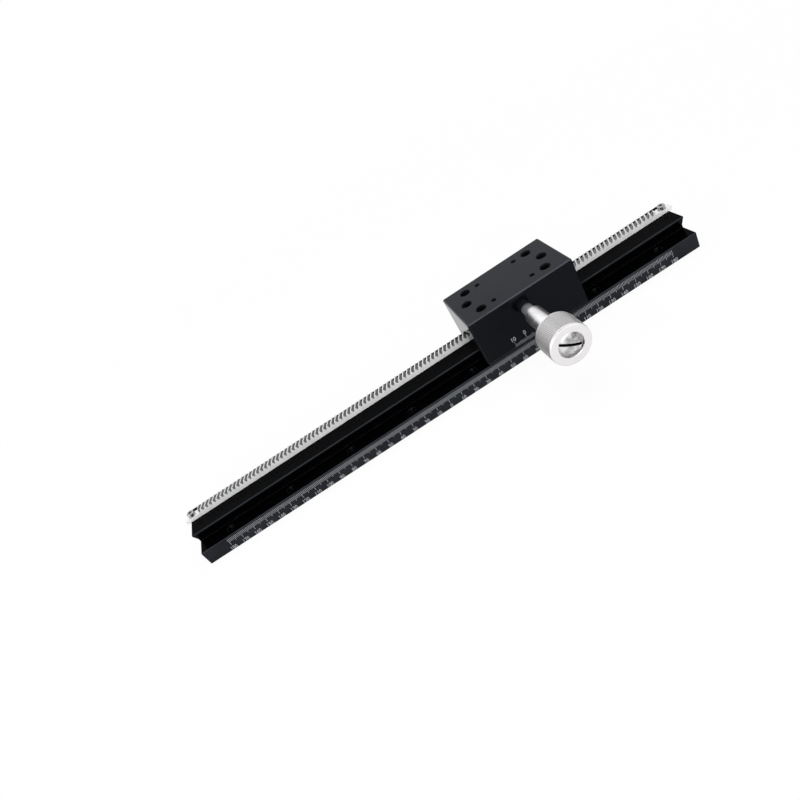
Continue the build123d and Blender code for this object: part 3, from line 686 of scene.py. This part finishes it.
def knurlTree():
    tree, enter, leave = startTree("diamondKnurl", {
        "Centre": "Vector", "Radius": "Float", "Length": "Float", "Depth": "Float", "Around": "Int",
        "Along": "Int"})
    given = enter.outputs
    halfSteps = mathStep(tree, "MULTIPLY", given["Around"], 2)
    stepsAlong = mathStep(tree, "MULTIPLY", given["Along"], 2)
    grid = addNode(tree, "GeometryNodeMeshGrid", {"Size X": 1.0, "Size Y": 1.0})
    link(tree, mathStep(tree, "ADD", halfSteps, 1), grid.inputs["Vertices X"])
    link(tree, mathStep(tree, "ADD", stepsAlong, 1), grid.inputs["Vertices Y"])
    spot = addNode(tree, "ShaderNodeSeparateXYZ")
    link(tree, addNode(tree, "GeometryNodeInputPosition").outputs[0], spot.inputs[0])
    share = mathStep(tree, "ADD", spot.outputs["X"], 0.5)
    run = mathStep(tree, "ADD", spot.outputs["Y"], 0.5)
    column = mathStep(tree, "ROUND", mathStep(tree, "MULTIPLY", share, halfSteps))
    line = mathStep(tree, "ROUND", mathStep(tree, "MULTIPLY", run, stepsAlong))
    odd = mathStep(tree, "PINGPONG", mathStep(tree, "ADD", column, line), 1.0)
    lastLine = mathStep(tree, "SUBTRACT", stepsAlong, 0.5)
    inside = mathStep(tree, "MULTIPLY", mathStep(tree, "GREATER_THAN", line, 0.5),
                      mathStep(tree, "LESS_THAN", line, lastLine))
    rise = mathStep(tree, "MULTIPLY", mathStep(tree, "MULTIPLY", odd, inside), given["Depth"])
    radius = mathStep(tree, "ADD", given["Radius"], rise)
    angle = mathStep(tree, "MULTIPLY", share, 2 * math.pi)
    place = addNode(tree, "ShaderNodeCombineXYZ")
    link(tree, mathStep(tree, "MULTIPLY", radius, mathStep(tree, "COSINE", angle)), place.inputs["X"])
    link(tree, mathStep(tree, "MULTIPLY", run, given["Length"]), place.inputs["Y"])
    link(tree, mathStep(tree, "MULTIPLY", radius, mathStep(tree, "SINE", angle)), place.inputs["Z"])
    shifted = addNode(tree, "ShaderNodeVectorMath", operation="ADD")
    link(tree, place.outputs[0], shifted.inputs[0])
    link(tree, given["Centre"], shifted.inputs[1])
    wrap = addNode(tree, "GeometryNodeSetPosition")
    link(tree, grid.outputs["Mesh"], wrap.inputs["Geometry"])
    link(tree, shifted.outputs[0], wrap.inputs["Position"])
    closed = addNode(tree, "GeometryNodeMergeByDistance", {"Distance": 0.001 * mm})
    link(tree, wrap.outputs["Geometry"], closed.inputs["Geometry"])
    cut = addNode(tree, "GeometryNodeTriangulate", quad_method="SHORTEST_DIAGONAL")
    link(tree, closed.outputs["Geometry"], cut.inputs["Mesh"])
    flip = addNode(tree, "GeometryNodeFlipFaces")
    link(tree, cut.outputs["Mesh"], flip.inputs["Mesh"])
    endTree(tree, leave, flip.outputs["Mesh"], knurlMetal)
    return tree


knurlLength = knurlLook["length"] - 2 * knurlLook["rim"]
grown("knobKnurl", knurlTree(), {
    "Centre": (shaftSpot.x, knobLow.y + knurlLook["rim"], shaftSpot.z),
    "Radius": knobRadius - knurlLook["sink"], "Length": knurlLength, "Depth": knurlLook["depth"],
    "Around": knurlLook["around"], "Along": round(knurlLength / knurlLook["pitch"]),
}, "drive")


# floor, world and lamps
def seenDirectly(tree):
    path = addNode(tree, "ShaderNodeLightPath").outputs
    mirrored = mathStep(tree, "MAXIMUM", path["Is Glossy Ray"], path["Is Transmission Ray"])
    return mathStep(tree, "MAXIMUM", path["Is Camera Ray"], mirrored), mirrored


floorLook = {
    "half": 3.0,
    "drop": 0.05 * mm,  # below the rail
    "shade": 0.9,
    "glow": 0.94,  # share of plain white under the stage, as seen
    "mirroredGlow": 0.45,  # the same share in reflections
    "near": 0.35,  # from here the floor fades to plain white
    "far": 0.8,
}


def floorMaterial(look):
    material, tree, shader, place = startMaterial("studioFloor")
    shader.inputs["Base Color"].default_value = (look["shade"], look["shade"], look["shade"], 1)
    shader.inputs["Roughness"].default_value = 0.9
    shader.inputs["Specular IOR Level"].default_value = 0.0
    away = addNode(tree, "ShaderNodeVectorMath", operation="LENGTH")
    link(tree, place, away.inputs[0])
    watched, mirrored = seenDirectly(tree)
    nearShare = blend(tree, mirrored, look["glow"], look["mirroredGlow"])
    distance = spread(tree, away.outputs["Value"], 0.0, 1.0, look["near"], look["far"])
    glowShare = blend(tree, distance, nearShare, 1.0)
    glow = addNode(tree, "ShaderNodeEmission", {"Strength": 1.0})
    mixed = addNode(tree, "ShaderNodeMixShader")
    link(tree, mathStep(tree, "MULTIPLY", watched, glowShare), mixed.inputs["Fac"])
    link(tree, shader.outputs[0], mixed.inputs[1])
    link(tree, glow.outputs[0], mixed.inputs[2])
    link(tree, mixed.outputs[0], tree.nodes["Material Output"].inputs["Surface"])
    return material


def addFloor(look):
    half, drop = look["half"], look["drop"]
    mesh = bpy.data.meshes.new("studioFloor")
    corners = [(-half, -half, -drop), (half, -half, -drop), (half, half, -drop), (-half, half, -drop)]
    mesh.from_pydata(corners, [], [(0, 1, 2, 3)])
    mesh.materials.append(floorMaterial(look))
    floor = bpy.data.objects.new("studioFloor", mesh)
    scene.collection.objects.link(floor)


worldLook = {
    "fill": 0.3,  # light that falls on the object
    "lowSky": 0.6,
    "highSky": 0.87,
    "overhead": 0.4,
}


# white where it is seen, dimmer overhead where it is only mirrored
def addWorld(look):
    world = bpy.data.worlds.new("studioWorld")
    world.use_nodes = True
    tree = world.node_tree
    shade = tree.nodes["Background"]
    parts = addNode(tree, "ShaderNodeSeparateXYZ")
    link(tree, addNode(tree, "ShaderNodeTexCoord").outputs["Generated"], parts.inputs[0])
    sky = spread(tree, parts.outputs["Z"], 1.0, look["overhead"], look["lowSky"], look["highSky"])
    watched, mirrored = seenDirectly(tree)
    strength = blend(tree, mirrored, blend(tree, watched, look["fill"], 1.0), sky)
    link(tree, strength, shade.inputs["Strength"])
    shade.inputs["Color"].default_value = (1, 1, 1, 1)
    scene.world = world


def addLamp(name, aim, look):
    data = bpy.data.lights.new(name, "AREA")
    data.shape = "RECTANGLE"
    data.size, data.size_y = look["size"]
    data.energy = look["power"]
    lamp = bpy.data.objects.new(name, data)
    lamp.location = look["spot"]
    lamp.rotation_mode = "QUATERNION"
    lamp.rotation_quaternion = (aim - Vector(look["spot"])).to_track_quat("-Z", "Y")
    scene.collection.objects.link(lamp)


lampLooks = {
    "overheadSoftbox": {"spot": (0.1, 0.25, 1.1), "size": (1.4, 1.0), "power": 10.0},
    "frontSoftbox": {"spot": (0.15, -1.0, 0.25), "size": (1.2, 0.4), "power": 6.0},
    "leftSoftbox": {"spot": (-1.1, -0.3, 0.6), "size": (0.8, 0.8), "power": 5.0},
}
addFloor(floorLook)
addWorld(worldLook)
middle = (cadBox[0] + cadBox[1]) / 2
for name, look in lampLooks.items():
    addLamp(name, middle, look)
print("stage lit")
